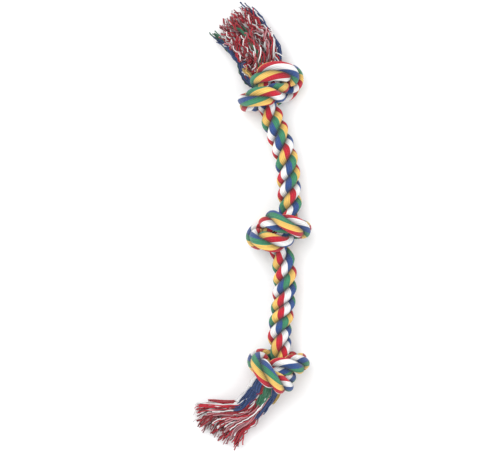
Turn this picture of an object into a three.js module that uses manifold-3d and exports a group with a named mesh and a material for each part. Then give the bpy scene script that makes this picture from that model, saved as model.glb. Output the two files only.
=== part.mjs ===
// A cotton rope tug toy for dogs: one three-strand rope with three overhand knots and two unlaid tassels.
// It lies flat. X is to the right, Y runs up the rope, Z is up from the floor. Lengths are millimetres.
import * as THREE from 'three';
import { mergeVertices } from 'three/addons/utils/BufferGeometryUtils.js';
import Module from 'manifold-3d';

const wasm = await Module();
wasm.setup();

// The rope
const ROPE_DIAMETER = 20;
const LAY_LENGTH = 37;
const KNOT_LAY_LENGTH = 47;
const STRAND_LETTERS = ['a', 'b', 'c'];
const SEAM = 0.35;
const SAMPLE_STEP = 0.5;
const FINE_STEPS = 40;
const RINGS_PER_LAY = 11;

// How hard the knots press the rope together
const KNOT_WIDTH_SHARE = 0.84;
const BEND_WIDTH_SHARE = 0.9;
const OWN_REACH_SHARE = 1.45;
const PRESS_SPREAD_SHARE = 0.15;

// How the passes of a knot are eased apart: the room each wants, and how fast and how stiffly it moves
const PASS_ROOM_SHARE = 0.8;
const EASE_STEP = 2;
const EASE_ROUNDS = 60;
const EASE_RATE = 0.25;
const EASE_FLAT_SHARE = 0.3;
const EASE_SPREAD_STEPS = 3;
const EASE_PULL_SHARE = 0.02;
const EASE_STIFFNESS = 0.15;

// What rests on the floor is pressed flat to this share of the rope's diameter
const FLAT_DEPTH_SHARE = 0.1;
const CUT_OVERRUN = 5;

// Places of the knots' middles
const UPPER_KNOT_SPACING = 120.4;
const LOWER_KNOT_SPACING = 116;
const MIDDLE_KNOT_SETBACK = 4.4;
const TOP_KNOT_SIDE = 15;
const MIDDLE_KNOT_SIDE = 21.6;
const BOTTOM_KNOT_SIDE = 20.8;
const KNOT_HEIGHT_SHARES = [-0.07, -0.075, 0.05];

// The rope's bow between the knots: how far from one knot to the next, and how many diameters to the side
const UPPER_BOW_SHARES = [
  [0.33, 0.25],
  [0.42, 0.43],
  [0.515, 0.56],
  [0.61, 0.62],
];
const LOWER_BOW_SHARES = [
  [0.335, 0.36],
  [0.45, 0.33],
  [0.565, 0.26],
  [0.66, 0.17],
];
const BOW_DROP_SHARE = 0.075;

// Where the strands' lay runs ahead of even or behind it: the share of the rope's length, and of a turn
const LAY_LEAD_SHARES = [
  [0, 0.18],
  [0.035, 0.16],
  [0.052, 0.26],
  [0.068, 0.16],
  [0.095, 0.03],
  [0.15, 0.05],
  [0.188, 0.2],
  [0.215, -0.03],
  [0.26, 0.13],
  [0.37, 0.09],
  [0.45, 0],
  [0.555, 0.13],
  [0.577, 0.03],
  [0.6, 0],
  [0.65, 0],
  [0.8, 0.1],
  [0.817, 0.12],
  [0.842, 0],
  [0.9, -0.05],
  [0.962, 0.08],
  [1, 0],
];

// The rope's route through each knot, from the top end of the toy to the bottom end.
// Points are in rope diameters from the knot's middle.
const TOP_KNOT_SHARES = [
  [-0.5, 1, -0.1],
  [-0.25, 0.62, -0.12],
  [0.05, 0.28, 0],
  [0.33, 0.03, 0.2],
  [0.58, -0.1, 0.36],
  [0.54, -0.38, 0.6],
  [0.02, -0.38, 0.78],
  [-0.4, -0.4, 0.74],
  [-0.74, -0.52, 0.52],
  [-0.92, -0.62, 0.08],
  [-0.78, -0.66, -0.38],
  [-0.42, -0.58, -0.67],
  [0.05, -0.5, -0.74],
  [0.48, -0.36, -0.68],
  [0.84, -0.12, -0.43],
  [0.97, 0.16, 0],
  [0.82, 0.42, 0.43],
  [0.45, 0.58, 0.72],
  [0, 0.56, 0.79],
  [-0.36, 0.36, 0.7],
  [-0.48, 0.04, 0.43],
  [-0.33, -0.28, 0.13],
  [-0.1, -0.62, -0.08],
  [0.02, -1.03, -0.1],
  [0.14, -1.52, -0.07],
];
const MIDDLE_KNOT_SHARES = [
  [0.47, 1.58, -0.07],
  [0.55, 1.08, -0.07],
  [0.57, 0.6, -0.1],
  [0.42, 0.2, 0.02],
  [0.42, -0.12, 0.26],
  [0.38, -0.45, 0.56],
  [0, -0.52, 0.72],
  [-0.34, -0.46, 0.72],
  [-0.6, -0.38, 0.5],
  [-0.74, -0.22, 0.1],
  [-0.66, -0.02, -0.35],
  [-0.42, 0.1, -0.63],
  [-0.06, 0.12, -0.71],
  [0.34, 0.12, -0.68],
  [0.68, 0.08, -0.45],
  [0.87, 0.02, -0.02],
  [0.74, -0.04, 0.43],
  [0.44, 0.07, 0.72],
  [0.08, 0.32, 0.77],
  [-0.27, 0.5, 0.73],
  [-0.52, 0.34, 0.52],
  [-0.42, 0.02, 0.31],
  [-0.2, -0.25, 0.08],
  [0.06, -0.6, -0.1],
  [0.22, -1, -0.08],
  [0.29, -1.4, -0.07],
];
const BOTTOM_KNOT_SHARES = [
  [0.1, 1.54, -0.06],
  [0.14, 1, -0.07],
  [0.17, 0.5, -0.09],
  [0.26, 0.08, 0],
  [0.46, -0.3, 0.22],
  [0.3, -0.56, 0.48],
  [-0.02, -0.42, 0.67],
  [-0.35, -0.08, 0.68],
  [-0.66, 0.2, 0.53],
  [-0.83, 0.36, 0.15],
  [-0.72, 0.42, -0.31],
  [-0.38, 0.38, -0.57],
  [0.09, 0.33, -0.63],
  [0.48, 0.25, -0.59],
  [0.8, 0.2, -0.34],
  [0.94, 0.18, 0.05],
  [0.82, 0.14, 0.4],
  [0.44, 0.13, 0.6],
  [0.09, 0.05, 0.53],
  [-0.16, -0.17, 0.31],
  [-0.31, -0.42, 0.09],
  [-0.46, -0.74, -0.05],
  [-0.72, -1.15, -0.1],
];

// One strand's section, in rope radii: outward from the rope's axis, and to one side
const STRAND_SECTION_SHARES = [
  [1, 0],
  [0.9, 0.32],
  [0.62, 0.53],
  [0.31, 0.52],
  [0.02, 0],
  [0.31, -0.52],
  [0.62, -0.53],
  [0.9, -0.32],
];

// The tassels, where the strands come apart into locks of yarn
// Their middles' places are in shares of the tassel's reach from its knot: to the right, up the rope, and up
const TOP_TASSEL_REACH = 68;
const BOTTOM_TASSEL_REACH = 74;
const TOP_TASSEL_SHARES = [
  [-0.12, 0.38, 0.34],
  [-0.28, 0.65, 0.27],
  [-0.52, 0.87, 0.2],
];
const BOTTOM_TASSEL_SHARES = [
  [-0.28, -0.38, 0.28],
  [-0.57, -0.49, 0.2],
  [-0.92, -0.585, 0.17],
];
const TOP_TASSEL_HALF_WIDTH = 29;
const BOTTOM_TASSEL_HALF_WIDTH = 30;
const TASSEL_HALF_HEIGHT = 12;
const TASSEL_LEAD_SHARE = 0.35;
// How soon a tassel spreads: at once below 1, and late above it
const TOP_TASSEL_FLARE = 0.7;
const BOTTOM_TASSEL_FLARE = 1.5;
const TASSEL_SAMPLES = 90;
const LOCK_STEPS = 8;
const LOCK_SIDES = 6;
const LOCK_BLUNT_SHARE = 0.45;
const LOCK_TAPER_START_SHARE = 0.7;

// Where each strand's locks lie in the round bundle, in shares of the bundle's radius
const STRAND_OUT_SHARE = 0.52;
const LOCK_OUT_SHARE = 0.29;
const LOCK_WIDTH_SHARE = 0.14;
const CORE_WIDTH_SHARE = 0.12;

// How long each lock is, as a share of its tassel's length, in the order of the locks' colours
const TOP_LOCK_LENGTH_SHARES = [
  [0.86, 0.94, 0.9, 1, 0.84, 1],
  [0.8, 0.96, 0.92, 0.88, 0.9, 0.97],
  [0.9, 0.98, 0.95, 0.93, 0.82, 0.94],
];
const BOTTOM_LOCK_LENGTH_SHARES = [
  [0.84, 0.95, 0.9, 0.88, 0.82, 0.98],
  [0.9, 1, 0.93, 0.86, 0.88, 1],
  [0.82, 0.97, 0.96, 0.9, 0.84, 0.95],
];

// The finish of the dyed cotton
const COLOURS = { yellow: 0xe8bd4a, red: 0xc4202c, white: 0xf2efe8, blue: 0x2f4a98, green: 0x2a7f56 };
const CORE_COLOUR = 0xb8405a;
const STRAND_COLOURS = { a: 0xc4202c, b: 0x2f4a98, c: 0xe8bd4a };
const YARN_ROUGHNESS = 0.92;
const YARN_METALNESS = 0;

const ropeRadius = ROPE_DIAMETER / 2;
const fullTurn = 2 * Math.PI;

function yarn(colour) {
  return new THREE.MeshStandardMaterial({ color: colour, roughness: YARN_ROUGHNESS, metalness: YARN_METALNESS });
}

// The route's points in millimetres, and where each length of rope starts among them
function knotPlace(side, forward, k) {
  return new THREE.Vector3(side, forward, KNOT_HEIGHT_SHARES[k] * ROPE_DIAMETER);
}

const topKnotPlace = knotPlace(TOP_KNOT_SIDE, UPPER_KNOT_SPACING - MIDDLE_KNOT_SETBACK, 0);
const middleKnotPlace = knotPlace(MIDDLE_KNOT_SIDE, -MIDDLE_KNOT_SETBACK, 1);
const bottomKnotPlace = knotPlace(BOTTOM_KNOT_SIDE, -MIDDLE_KNOT_SETBACK - LOWER_KNOT_SPACING, 2);

function knotPoints(shares, place) {
  return shares.map(([x, y, z]) => new THREE.Vector3(x, y, z).multiplyScalar(ROPE_DIAMETER).add(place));
}

function bowPoints(shares, from, to) {
  return shares.map(([share, out]) => {
    const point = from.clone().lerp(to, share);
    return point.set(point.x + out * ROPE_DIAMETER, point.y, -BOW_DROP_SHARE * ROPE_DIAMETER);
  });
}

const lengths = [
  knotPoints(TOP_KNOT_SHARES, topKnotPlace),
  bowPoints(UPPER_BOW_SHARES, topKnotPlace, middleKnotPlace),
  knotPoints(MIDDLE_KNOT_SHARES, middleKnotPlace),
  bowPoints(LOWER_BOW_SHARES, middleKnotPlace, bottomKnotPlace),
  knotPoints(BOTTOM_KNOT_SHARES, bottomKnotPlace),
];

// A smooth curve that the points draw towards them, as a point and a number that counts the points
function routePoint(points, at) {
  const first = Math.min(Math.floor(at) - 1, points.length - 4);
  const t = at - 1 - first;
  const weights = [
    (1 - t) ** 3,
    3 * t ** 3 - 6 * t ** 2 + 4,
    -3 * t ** 3 + 3 * t ** 2 + 3 * t + 1,
    t ** 3,
  ];
  const place = new THREE.Vector3();
  weights.forEach((weight, k) => place.addScaledVector(points[first + k], weight / 6));
  return place;
}

// Even samples along the curve
function sampleRoute(points, gap) {
  const fine = [];
  const counts = [];
  for (let k = FINE_STEPS; k <= (points.length - 2) * FINE_STEPS; k += 1) {
    counts.push(k / FINE_STEPS);
    fine.push(routePoint(points, k / FINE_STEPS));
  }
  const along = [0];
  for (let k = 1; k < fine.length; k += 1) {
    along.push(along[k - 1] + fine[k].distanceTo(fine[k - 1]));
  }
  const total = along[along.length - 1];
  const steps = Math.round(total / gap);
  const samples = [];
  let k = 1;
  for (let i = 0; i <= steps; i += 1) {
    const s = Math.min(i * total / steps, total);
    while (k < along.length - 1 && along[k] < s) k += 1;
    const t = (s - along[k - 1]) / (along[k] - along[k - 1]);
    samples.push({
      s,
      place: fine[k - 1].clone().lerp(fine[k], t),
      count: counts[k - 1] + t * (counts[k] - counts[k - 1]),
    });
  }
  return samples;
}

// The passes of each knot are eased apart until they press on each other and no more
function easeApart(home) {
  const reach = Math.round(OWN_REACH_SHARE * ROPE_DIAMETER / EASE_STEP);
  const room = PASS_ROOM_SHARE * ROPE_DIAMETER;
  const last = home.length - 1;
  let places = home.map((place) => place.clone());
  for (let round = 0; round < EASE_ROUNDS; round += 1) {
    const pushes = places.map((place, i) => {
      const push = new THREE.Vector3();
      let presses = 0;
      places.forEach((other, j) => {
        const lack = room - place.distanceTo(other);
        if (Math.abs(i - j) <= reach || lack <= 0) return;
        push.addScaledVector(place.clone().sub(other).normalize(), lack * EASE_RATE);
        presses += 1;
      });
      push.x *= EASE_FLAT_SHARE;
      push.y *= EASE_FLAT_SHARE;
      return push.divideScalar(Math.sqrt(Math.max(presses, 1)));
    });
    const moved = places.map((place, i) => {
      const next = place.clone();
      for (let j = i - EASE_SPREAD_STEPS; j <= i + EASE_SPREAD_STEPS; j += 1) {
        if (j >= 0 && j <= last) next.addScaledVector(pushes[j], 1 / (2 * EASE_SPREAD_STEPS + 1));
      }
      return next.addScaledVector(home[i].clone().sub(place), EASE_PULL_SHARE);
    });
    places = moved.map((place, i) => {
      if (i === 0 || i === last) return place;
      const bend = moved[i - 1].clone().add(moved[i + 1]).addScaledVector(place, -2);
      return place.clone().addScaledVector(bend, EASE_STIFFNESS);
    });
  }
  return places;
}

const coarse = sampleRoute(lengths.flat(), EASE_STEP);
const samples = sampleRoute(easeApart(coarse.map((sample) => sample.place)), SAMPLE_STEP);
const sampleGap = samples[1].s;
samples.forEach((sample) => {
  const k = Math.min(Math.floor(sample.count), coarse.length - 2);
  sample.count = coarse[k].count + (sample.count - k) * (coarse[k + 1].count - coarse[k].count);
});

// The direction along the rope, and two directions across it that turn as little as they can
function addFrames() {
  const across = new THREE.Vector3(1, 0, 0);
  samples.forEach((sample, i) => {
    const ahead = samples[Math.min(i + 1, samples.length - 1)].place;
    const behind = samples[Math.max(i - 1, 0)].place;
    sample.along = ahead.clone().sub(behind).normalize();
    across.addScaledVector(sample.along, -across.dot(sample.along)).normalize();
    sample.across = across.clone();
    sample.up = sample.along.clone().cross(sample.across);
  });
}

// How wide the rope is at each sample: less where another pass presses on it or it bends sharply
function addWidths() {
  const ownReach = Math.round(OWN_REACH_SHARE * ROPE_DIAMETER / sampleGap);
  const spread = Math.round(PRESS_SPREAD_SHARE * ROPE_DIAMETER / sampleGap);
  const free = samples.map((sample, i) => {
    let near = Infinity;
    samples.forEach((other, j) => {
      if (Math.abs(i - j) > ownReach) near = Math.min(near, other.place.distanceTo(sample.place));
    });
    const before = samples[Math.max(i - spread, 0)].along;
    const after = samples[Math.min(i + spread, samples.length - 1)].along;
    const bend = 2 * spread * sampleGap / Math.max(before.angleTo(after), 1 / samples.length);
    const pressed = Math.min((near - SEAM) / ROPE_DIAMETER, BEND_WIDTH_SHARE * bend / ropeRadius, 1);
    return pressed < 1 ? Math.min(pressed, KNOT_WIDTH_SHARE) : 1;
  });
  const inReach = (list, i) => list.slice(Math.max(i - spread, 0), i + spread + 1);
  const least = free.map((_, i) => Math.min(...inReach(free, i)));
  samples.forEach((sample, i) => {
    const window = inReach(least, i);
    sample.width = window.reduce((sum, value) => sum + value, 0) / window.length;
  });
}

function layLead(share) {
  const k = Math.max(LAY_LEAD_SHARES.findIndex(([at]) => at >= share), 1);
  const [from, before] = LAY_LEAD_SHARES[k - 1];
  const [to, after] = LAY_LEAD_SHARES[k];
  return before + (after - before) * (share - from) / (to - from);
}

// How far the strands have turned about the rope's axis
function addTurns() {
  const total = samples[samples.length - 1].s;
  let turn = 0;
  samples.forEach((sample) => {
    sample.turn = turn + fullTurn * layLead(sample.s / total);
    const knotted = Math.min((1 - sample.width) / (1 - KNOT_WIDTH_SHARE), 1);
    const lay = LAY_LENGTH + (KNOT_LAY_LENGTH - LAY_LENGTH) * knotted;
    turn += fullTurn * sampleGap / lay;
  });
}

addFrames();
addWidths();
addTurns();

// The rope sits so low that its lowest crowns go a little way under the floor, where they are cut flat
const lowest = Math.min(...samples.map((sample) => sample.place.z - sample.width * ropeRadius));
const lift = -FLAT_DEPTH_SHARE * ROPE_DIAMETER - lowest;
samples.forEach((sample) => {
  sample.place.z += lift;
});

// A closed body from rings of points, all wound alike about the way along, with a fan on each end
function bodyFromRings(rings) {
  const sides = rings[0].length;
  const positions = rings.flat().flatMap((p) => [p.x, p.y, p.z]);
  const faces = [];
  for (let i = 0; i < rings.length - 1; i += 1) {
    for (let j = 0; j < sides; j += 1) {
      const a = i * sides + j;
      const b = i * sides + (j + 1) % sides;
      const c = b + sides;
      const d = a + sides;
      // The two halves of a section are split as mirror images, so that touching faces match
      if (j < sides / 2) faces.push(a, b, c, a, c, d);
      else faces.push(a, b, d, b, c, d);
    }
  }
  const last = (rings.length - 1) * sides;
  for (let j = 1; j < sides - 1; j += 1) {
    faces.push(0, j + 1, j);
    faces.push(last, last + j, last + j + 1);
  }
  const geometry = new THREE.BufferGeometry();
  geometry.setAttribute('position', new THREE.Float32BufferAttribute(positions, 3));
  geometry.setIndex(faces);
  return geometry;
}

function toSolid(geometry) {
  const bare = geometry.clone();
  bare.deleteAttribute('normal');
  bare.deleteAttribute('uv');
  const merged = mergeVertices(bare);
  return new wasm.Manifold(new wasm.Mesh({
    numProp: 3,
    vertProperties: new Float32Array(merged.attributes.position.array),
    triVerts: new Uint32Array(merged.index.array),
  }));
}

function toGeometry(solid) {
  const mesh = solid.getMesh();
  const geometry = new THREE.BufferGeometry();
  geometry.setAttribute('position', new THREE.Float32BufferAttribute(mesh.vertProperties, 3));
  geometry.setIndex(Array.from(mesh.triVerts));
  geometry.computeVertexNormals();
  return geometry;
}

// What lies under the floor is cut away
function cutAtFloor(geometry) {
  geometry.computeBoundingBox();
  const box = geometry.boundingBox;
  if (box.min.z >= 0) return geometry;
  const size = box.getSize(new THREE.Vector3());
  const middle = box.getCenter(new THREE.Vector3());
  const depth = CUT_OVERRUN - box.min.z;
  const under = new THREE.BoxGeometry(size.x + 2 * CUT_OVERRUN, size.y + 2 * CUT_OVERRUN, depth);
  under.translate(middle.x, middle.y, -depth / 2);
  return toGeometry(toSolid(geometry).subtract(toSolid(under)));
}

// One strand of the rope between two distances along it
function strandGeometry(strand, from, to) {
  const stepCount = Math.max(Math.round((to - from) * RINGS_PER_LAY / LAY_LENGTH), 2);
  const rings = [];
  for (let i = 0; i <= stepCount; i += 1) {
    const s = from + (to - from) * i / stepCount;
    const sample = samples[Math.min(Math.round(s / sampleGap), samples.length - 1)];
    const angle = sample.turn + fullTurn * strand / STRAND_LETTERS.length;
    const outward = sample.across.clone().multiplyScalar(Math.cos(angle))
      .addScaledVector(sample.up, Math.sin(angle));
    const sideways = sample.along.clone().cross(outward);
    const radius = ropeRadius * sample.width;
    const seam = SEAM / Math.sqrt(STRAND_LETTERS.length);
    rings.push(STRAND_SECTION_SHARES.map(([out, side]) => sample.place.clone()
      .addScaledVector(outward, out * radius + seam * (1 - out))
      .addScaledVector(sideways, side * radius)));
  }
  return bodyFromRings(rings);
}

// The distances along the rope where its named lengths meet
function distanceAt(count) {
  return samples.find((sample) => sample.count >= count - 1 / FINE_STEPS).s;
}

function lengthEnds() {
  const ends = [0];
  let count = 0;
  lengths.slice(0, -1).forEach((length, k) => {
    count += length.length;
    const isKnot = k % 2 === 0;
    ends.push(distanceAt(isKnot ? count - 1 : count));
  });
  ends.push(samples[samples.length - 1].s);
  return ends;
}

const toy = new THREE.Group();
const LENGTH_NAMES = ['top_knot', 'upper_rope', 'middle_knot', 'lower_rope', 'bottom_knot'];
const ends = lengthEnds();

LENGTH_NAMES.forEach((name, k) => {
  STRAND_LETTERS.forEach((letter, strand) => {
    const geometry = strandGeometry(strand, ends[k] + SEAM / 2, ends[k + 1] - SEAM / 2);
    const mesh = new THREE.Mesh(cutAtFloor(geometry), yarn(STRAND_COLOURS[letter]));
    mesh.name = `${name}_strand_${letter}`;
    toy.add(mesh);
  });
});

// A tassel: the three strands' yarns come apart into locks that spread along a drooping line.
// Every lock keeps its place in the bundle, and the bundle widens and flattens, so no lock crosses another.
function tasselFrames(tassel) {
  const { end, way, knot, reach, shares } = tassel;
  const line = new THREE.CatmullRomCurve3([
    end.place,
    end.place.clone().addScaledVector(end.along, way * TASSEL_LEAD_SHARE * ROPE_DIAMETER),
    ...shares.map(([x, y, z]) => new THREE.Vector3(knot.x + x * reach, knot.y + y * reach, z * reach)),
  ]);
  const across = end.across.clone();
  const frames = [];
  for (let i = 0; i <= TASSEL_SAMPLES; i += 1) {
    const t = i / TASSEL_SAMPLES;
    const outwards = i === 0 ? end.along.clone().multiplyScalar(way) : line.getTangentAt(t);
    across.addScaledVector(outwards, -across.dot(outwards)).normalize();
    const wide = new THREE.Vector3(0, 0, 1).cross(outwards).normalize();
    frames.push({
      place: line.getPointAt(t),
      across: across.clone(),
      up: outwards.clone().multiplyScalar(way).cross(across),
      wide,
      high: outwards.clone().cross(wide),
    });
  }
  return frames;
}

// All the locks of a tassel have their rings at the same places along it, so that flat sides can't cross either
function lockGeometry(tassel, frames, centre, width, lengthShare) {
  const baseRadius = ropeRadius * tassel.end.width;
  const steps = Math.ceil(lengthShare * LOCK_STEPS);
  const rings = [];
  for (let i = 0; i <= steps; i += 1) {
    const t = Math.min(i / LOCK_STEPS, lengthShare);
    const frame = frames[Math.round(t * TASSEL_SAMPLES)];
    const spread = t ** tassel.flare;
    const wideRadius = baseRadius + (tassel.halfWidth - baseRadius) * spread;
    const highRadius = baseRadius + (TASSEL_HALF_HEIGHT - baseRadius) * spread;
    const taper = Math.max(t / lengthShare - LOCK_TAPER_START_SHARE, 0) / (1 - LOCK_TAPER_START_SHARE);
    const girth = width * (1 - (1 - LOCK_BLUNT_SHARE) * taper);
    const ring = [];
    for (let j = 0; j < LOCK_SIDES; j += 1) {
      const angle = tassel.way * fullTurn * j / LOCK_SIDES;
      const offset = frame.across.clone().multiplyScalar(centre[0] + girth * Math.cos(angle))
        .addScaledVector(frame.up, centre[1] + girth * Math.sin(angle));
      ring.push(frame.place.clone()
        .addScaledVector(frame.wide, offset.dot(frame.wide) * wideRadius)
        .addScaledVector(frame.high, offset.dot(frame.high) * highRadius));
    }
    rings.push(ring);
  }
  return bodyFromRings(rings);
}

function around(centre, angle, reach) {
  return [centre[0] + reach * Math.cos(angle), centre[1] + reach * Math.sin(angle)];
}

function addTassel(tassel) {
  const frames = tasselFrames(tassel);
  STRAND_LETTERS.forEach((letter, strand) => {
    const strandAngle = tassel.end.turn + fullTurn * strand / STRAND_LETTERS.length;
    const middle = around([0, 0], strandAngle, STRAND_OUT_SHARE);
    const lengthShares = tassel.lengthShares[strand];
    Object.entries(COLOURS).forEach(([colour, value], k) => {
      const lockAngle = strandAngle + fullTurn * k / Object.keys(COLOURS).length;
      const centre = around(middle, lockAngle, LOCK_OUT_SHARE);
      const geometry = lockGeometry(tassel, frames, centre, LOCK_WIDTH_SHARE, lengthShares[k]);
      const mesh = new THREE.Mesh(cutAtFloor(geometry), yarn(value));
      mesh.name = `${tassel.name}_${letter}_${colour}`;
      toy.add(mesh);
    });
    const coreShare = lengthShares[lengthShares.length - 1];
    const core = lockGeometry(tassel, frames, middle, CORE_WIDTH_SHARE, coreShare);
    const mesh = new THREE.Mesh(cutAtFloor(core), yarn(CORE_COLOUR));
    mesh.name = `${tassel.name}_${letter}_core`;
    toy.add(mesh);
  });
}

addTassel({
  name: 'top_tassel',
  end: samples[0],
  way: -1,
  knot: topKnotPlace,
  reach: TOP_TASSEL_REACH,
  shares: TOP_TASSEL_SHARES,
  halfWidth: TOP_TASSEL_HALF_WIDTH,
  flare: TOP_TASSEL_FLARE,
  lengthShares: TOP_LOCK_LENGTH_SHARES,
});
addTassel({
  name: 'bottom_tassel',
  end: samples[samples.length - 1],
  way: 1,
  knot: bottomKnotPlace,
  reach: BOTTOM_TASSEL_REACH,
  shares: BOTTOM_TASSEL_SHARES,
  halfWidth: BOTTOM_TASSEL_HALF_WIDTH,
  flare: BOTTOM_TASSEL_FLARE,
  lengthShares: BOTTOM_LOCK_LENGTH_SHARES,
});

export default toy;
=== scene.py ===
"""The dressed model of a rope dog toy: one laid cotton rope, three overhand knots and two tassels."""
import math
import random

import bmesh
import bpy
import numpy as np
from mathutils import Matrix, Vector


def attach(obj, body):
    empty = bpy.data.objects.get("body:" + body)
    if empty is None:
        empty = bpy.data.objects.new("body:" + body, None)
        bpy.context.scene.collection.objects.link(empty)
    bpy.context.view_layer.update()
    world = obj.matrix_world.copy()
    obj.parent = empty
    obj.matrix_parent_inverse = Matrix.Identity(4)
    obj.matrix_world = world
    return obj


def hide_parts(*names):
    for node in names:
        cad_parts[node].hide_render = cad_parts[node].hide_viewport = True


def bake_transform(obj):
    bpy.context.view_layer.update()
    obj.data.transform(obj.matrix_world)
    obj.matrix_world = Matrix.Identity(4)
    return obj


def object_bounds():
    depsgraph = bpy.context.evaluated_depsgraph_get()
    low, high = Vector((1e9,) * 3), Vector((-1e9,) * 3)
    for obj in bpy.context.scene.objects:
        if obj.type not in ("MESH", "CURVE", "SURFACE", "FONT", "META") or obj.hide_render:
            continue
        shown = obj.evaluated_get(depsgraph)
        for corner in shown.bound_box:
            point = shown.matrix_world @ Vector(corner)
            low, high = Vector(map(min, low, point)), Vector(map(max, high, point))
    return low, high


bl_info = {
    "name": "Rope Dog Toy",
    "version": (1, 0, 0),
    "blender": (4, 5, 0),
    "location": "3D View > Sidebar > Rope Toy",
    "description": "Builds a knotted cotton rope toy around its packed solids",
    "category": "Add Mesh",
}

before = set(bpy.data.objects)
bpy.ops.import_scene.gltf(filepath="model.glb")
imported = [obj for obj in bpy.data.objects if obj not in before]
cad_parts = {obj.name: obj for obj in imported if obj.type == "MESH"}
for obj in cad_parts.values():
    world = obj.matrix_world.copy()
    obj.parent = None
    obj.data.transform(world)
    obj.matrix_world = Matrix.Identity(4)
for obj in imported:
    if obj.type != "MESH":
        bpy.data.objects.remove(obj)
cad_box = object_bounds()

# The rope, in metres, and how finely its route is sampled
ROPE_DIAMETER = 0.020
LAY_LENGTH = 0.037
KNOT_LAY_LENGTH = 0.047
STRANDS = 3
SEAM = 0.00035
SAMPLE_STEP = 0.0005
FINE_STEPS = 40
CURVE_POINTS = 4

# How hard the knots press the rope together
KNOT_WIDTH_SHARE = 0.84
BEND_WIDTH_SHARE = 0.9
OWN_REACH_SHARE = 1.45
PRESS_SPREAD_SHARE = 0.15

# How the passes of a knot are eased apart
PASS_ROOM_SHARE = 0.8
EASE_STEP = 0.002
EASE_ROUNDS = 60
EASE_RATE = 0.25
EASE_FLAT_SHARE = 0.3
EASE_SPREAD_STEPS = 3
EASE_PULL_SHARE = 0.02
EASE_STIFFNESS = 0.15
FLAT_DEPTH_SHARE = 0.1

# The rope's route, the same as in the part's source: the knots' places in metres
UPPER_KNOT_SPACING = 0.1204
LOWER_KNOT_SPACING = 0.116
MIDDLE_KNOT_SETBACK = 0.0044
TOP_KNOT_SIDE = 0.015
MIDDLE_KNOT_SIDE = 0.0216
BOTTOM_KNOT_SIDE = 0.0208
KNOT_HEIGHT_SHARES = [-0.07, -0.075, 0.05]
BOW_DROP_SHARE = 0.075

# Where the lay runs ahead of even or behind it: the share of the rope's length, and of a turn
LAY_LEAD_SHARES = [
    (0, 0.18), (0.035, 0.16), (0.052, 0.26), (0.068, 0.16), (0.095, 0.03),
    (0.15, 0.05), (0.188, 0.2), (0.215, -0.03), (0.26, 0.13), (0.37, 0.09),
    (0.45, 0), (0.555, 0.13), (0.577, 0.03), (0.6, 0), (0.65, 0),
    (0.8, 0.1), (0.817, 0.12), (0.842, 0), (0.9, -0.05), (0.962, 0.08),
    (1, 0),
]

# How the rope bows between two knots: the share of the way, and how far out in rope diameters
UPPER_BOW_SHARES = [(0.33, 0.25), (0.42, 0.43), (0.515, 0.56), (0.61, 0.62)]
LOWER_BOW_SHARES = [(0.335, 0.36), (0.45, 0.33), (0.565, 0.26), (0.66, 0.17)]

# The passes of each knot: places from the knot's own, in rope diameters
TOP_KNOT_SHARES = [
    (-0.5, 1, -0.1), (-0.25, 0.62, -0.12), (0.05, 0.28, 0), (0.33, 0.03, 0.2),
    (0.58, -0.1, 0.36), (0.54, -0.38, 0.6), (0.02, -0.38, 0.78), (-0.4, -0.4, 0.74),
    (-0.74, -0.52, 0.52), (-0.92, -0.62, 0.08), (-0.78, -0.66, -0.38), (-0.42, -0.58, -0.67),
    (0.05, -0.5, -0.74), (0.48, -0.36, -0.68), (0.84, -0.12, -0.43), (0.97, 0.16, 0),
    (0.82, 0.42, 0.43), (0.45, 0.58, 0.72), (0, 0.56, 0.79), (-0.36, 0.36, 0.7),
    (-0.48, 0.04, 0.43), (-0.33, -0.28, 0.13), (-0.1, -0.62, -0.08), (0.02, -1.03, -0.1),
    (0.14, -1.52, -0.07),
]
MIDDLE_KNOT_SHARES = [
    (0.47, 1.58, -0.07), (0.55, 1.08, -0.07), (0.57, 0.6, -0.1), (0.42, 0.2, 0.02),
    (0.42, -0.12, 0.26), (0.38, -0.45, 0.56), (0, -0.52, 0.72), (-0.34, -0.46, 0.72),
    (-0.6, -0.38, 0.5), (-0.74, -0.22, 0.1), (-0.66, -0.02, -0.35), (-0.42, 0.1, -0.63),
    (-0.06, 0.12, -0.71), (0.34, 0.12, -0.68), (0.68, 0.08, -0.45), (0.87, 0.02, -0.02),
    (0.74, -0.04, 0.43), (0.44, 0.07, 0.72), (0.08, 0.32, 0.77), (-0.27, 0.5, 0.73),
    (-0.52, 0.34, 0.52), (-0.42, 0.02, 0.31), (-0.2, -0.25, 0.08), (0.06, -0.6, -0.1),
    (0.22, -1, -0.08), (0.29, -1.4, -0.07),
]
BOTTOM_KNOT_SHARES = [
    (0.1, 1.54, -0.06), (0.14, 1, -0.07), (0.17, 0.5, -0.09), (0.26, 0.08, 0),
    (0.46, -0.3, 0.22), (0.3, -0.56, 0.48), (-0.02, -0.42, 0.67), (-0.35, -0.08, 0.68),
    (-0.66, 0.2, 0.53), (-0.83, 0.36, 0.15), (-0.72, 0.42, -0.31), (-0.38, 0.38, -0.57),
    (0.09, 0.33, -0.63), (0.48, 0.25, -0.59), (0.8, 0.2, -0.34), (0.94, 0.18, 0.05),
    (0.82, 0.14, 0.4), (0.44, 0.13, 0.6), (0.09, 0.05, 0.53), (-0.16, -0.17, 0.31),
    (-0.31, -0.42, 0.09), (-0.46, -0.74, -0.05), (-0.72, -1.15, -0.1),
]

# A strand of the finished rope: its yarns, its turns about its own middle for each turn of the lay, how far
# the yarns crowd to its crown in radians, and its section in shares of the rope's radius
YARNS_PER_STRAND = 20
SIDES_PER_YARN = 6
YARN_TWIST_TURNS = 2.15
CROWN_CROWDING = 0.14
CROWN_OUT_SHARE = 0.44
CROWN_RADIUS_SHARE = 0.56
YARN_RELIEF_SHARE = 0.045
RING_STEP_SAMPLES = 2
ROLL_SPREAD = 0.008
SEAM_MERGE = 1e-8

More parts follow.
